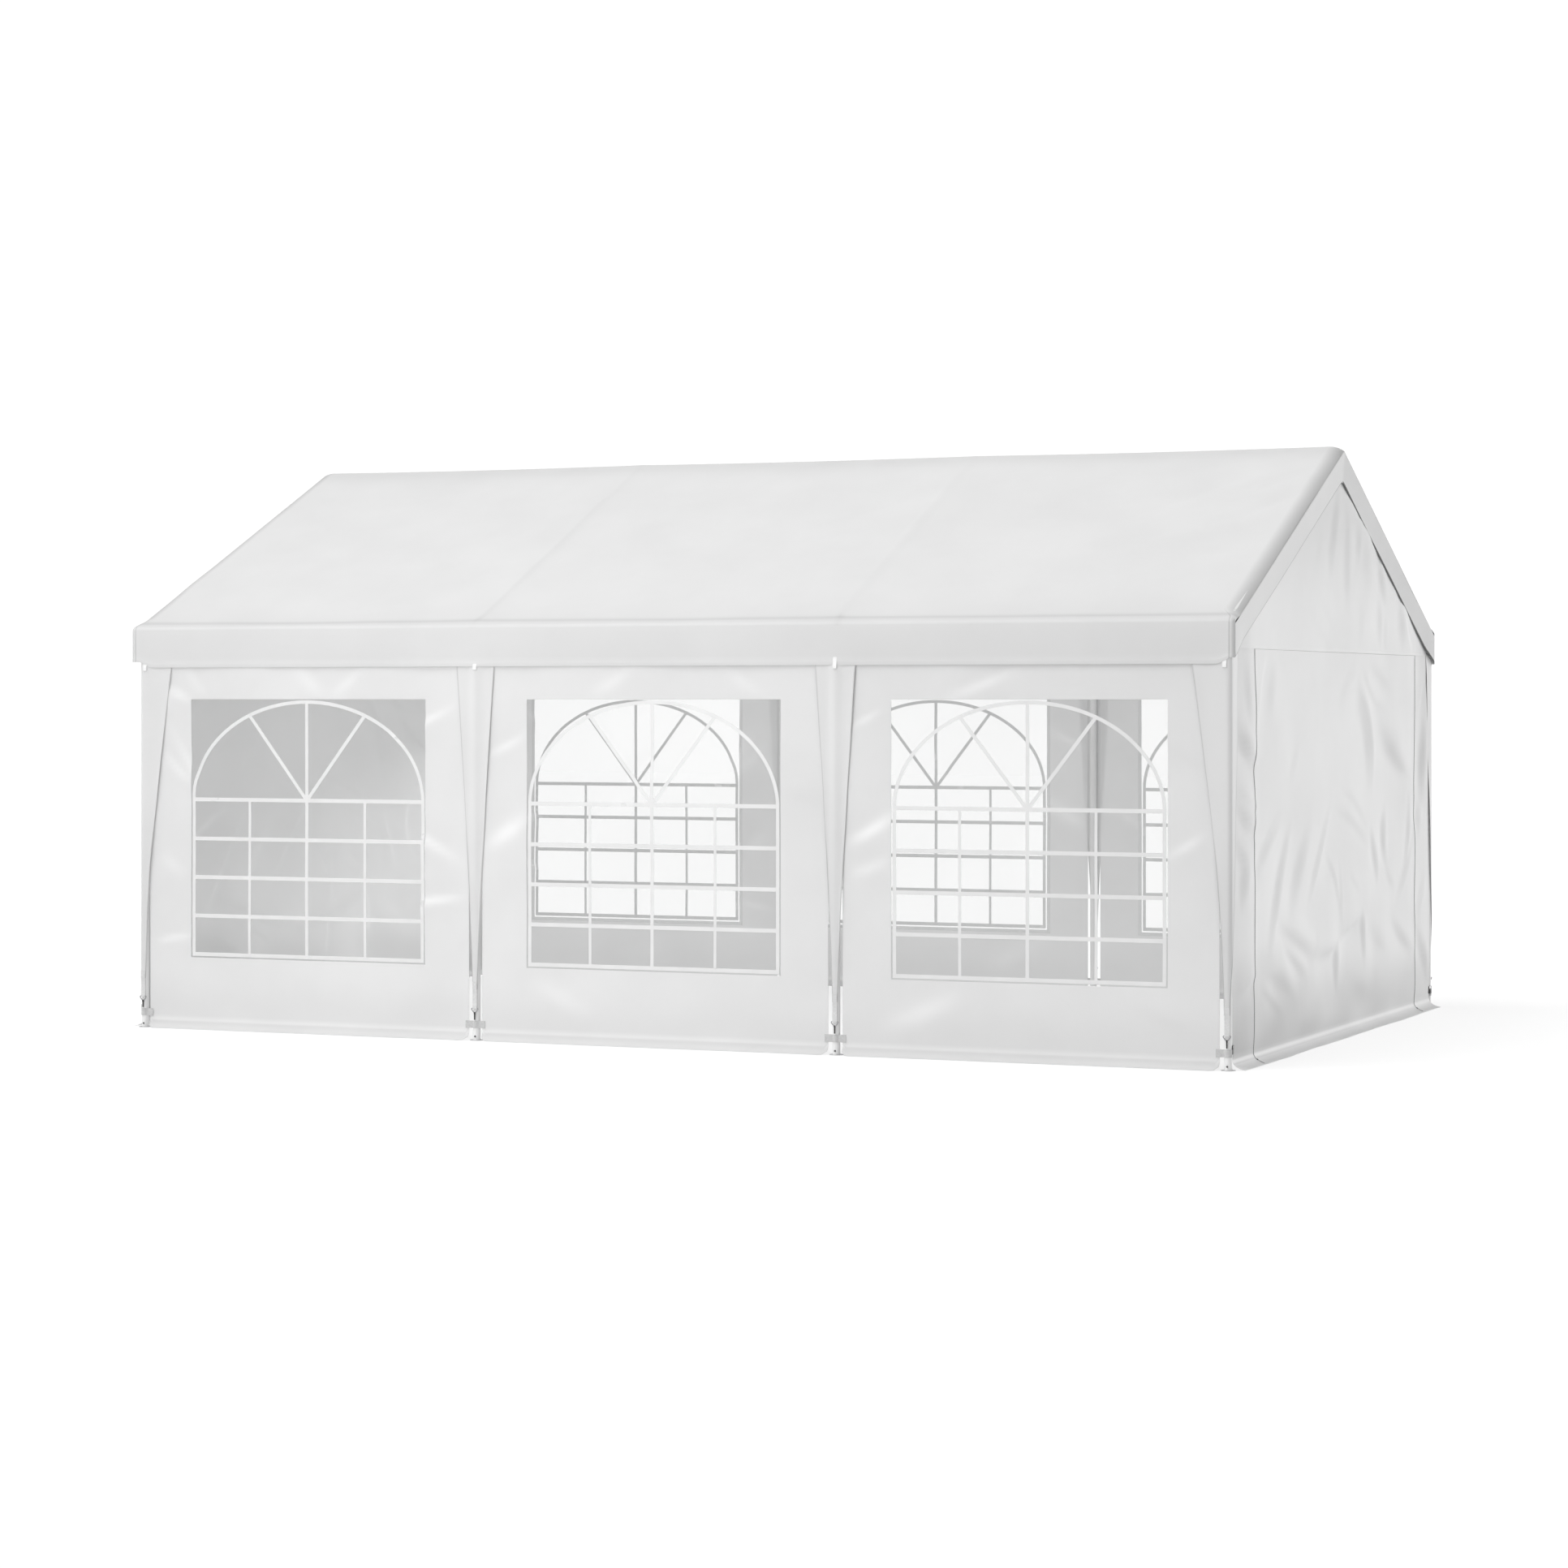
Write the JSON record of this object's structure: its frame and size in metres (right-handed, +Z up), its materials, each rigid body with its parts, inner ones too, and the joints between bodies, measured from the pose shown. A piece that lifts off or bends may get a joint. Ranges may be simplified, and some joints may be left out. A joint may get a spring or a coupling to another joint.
{
  "type": "marquee tent",
  "caption": "White gable-roof party tent on a steel tube frame, with window walls along both long sides and a wide zipped door in each gable.",
  "frame": {"origin": "on the ground under the middle of the tent", "axes": "+X along the tent towards the right gable, +Y across it towards the back, +Z up"},
  "size_m": [6.1044, 4.0544, 3.0348],
  "materials": {
    "roof_cloth": "satin coated tarpaulin",
    "wall_cloth": "satin coated tarpaulin",
    "clear_film": "clear soft film",
    "window_bar": "printed white bars",
    "white_steel": "white powder coat",
    "plate_steel": "white powder coat, worn",
    "ring_steel": "zinc plated",
    "webbing": "woven tape",
    "grey_band": "hook and loop tape",
    "black_plastic": "moulded",
    "zip_tape": "coil zip on woven tape"
  },
  "bodies": {
    "root": {"post_front_1": "white_steel", "post_front_2": "white_steel", "post_front_3": "white_steel", "post_front_4": "white_steel", "foot_front_1": "plate_steel", "foot_front_2": "plate_steel", "foot_front_3": "plate_steel", "foot_front_4": "plate_steel", "rafter_front_1": "white_steel", "rafter_front_2": "white_steel", "rafter_front_3": "white_steel", "rafter_front_4": "white_steel", "eave_rail_front": "white_steel", "post_back_1": "white_steel", "post_back_2": "white_steel", "post_back_3": "white_steel", "post_back_4": "white_steel", "foot_back_1": "plate_steel", "foot_back_2": "plate_steel", "foot_back_3": "plate_steel", "foot_back_4": "plate_steel", "rafter_back_1": "white_steel", "rafter_back_2": "white_steel", "rafter_back_3": "white_steel", "rafter_back_4": "white_steel", "eave_rail_back": "white_steel", "ridge_rail": "white_steel", "roof_front": "roof_cloth", "valance_front": "roof_cloth", "roof_back": "roof_cloth", "valance_back": "roof_cloth", "gable_valance_left": "roof_cloth", "gable_valance_right": "roof_cloth", "leg_cover_front_1": "roof_cloth", "leg_cover_front_2": "roof_cloth", "leg_cover_front_3": "roof_cloth", "leg_cover_front_4": "roof_cloth", "leg_cover_back_1": "roof_cloth", "leg_cover_back_2": "roof_cloth", "leg_cover_back_3": "roof_cloth", "leg_cover_back_4": "roof_cloth", "wall_front_1": "wall_cloth", "window_front_1": "clear_film", "wall_front_2": "wall_cloth", "window_front_2": "clear_film", "wall_front_3": "wall_cloth", "window_front_3": "clear_film", "wall_back_1": "wall_cloth", "window_back_1": "clear_film", "wall_back_2": "wall_cloth", "window_back_2": "clear_film", "wall_back_3": "wall_cloth", "window_back_3": "clear_film", "gable_wall_left": "wall_cloth", "gable_door_left": "wall_cloth", "gable_wall_right": "wall_cloth", "gable_door_right": "wall_cloth"}
  },
  "joints": []
}
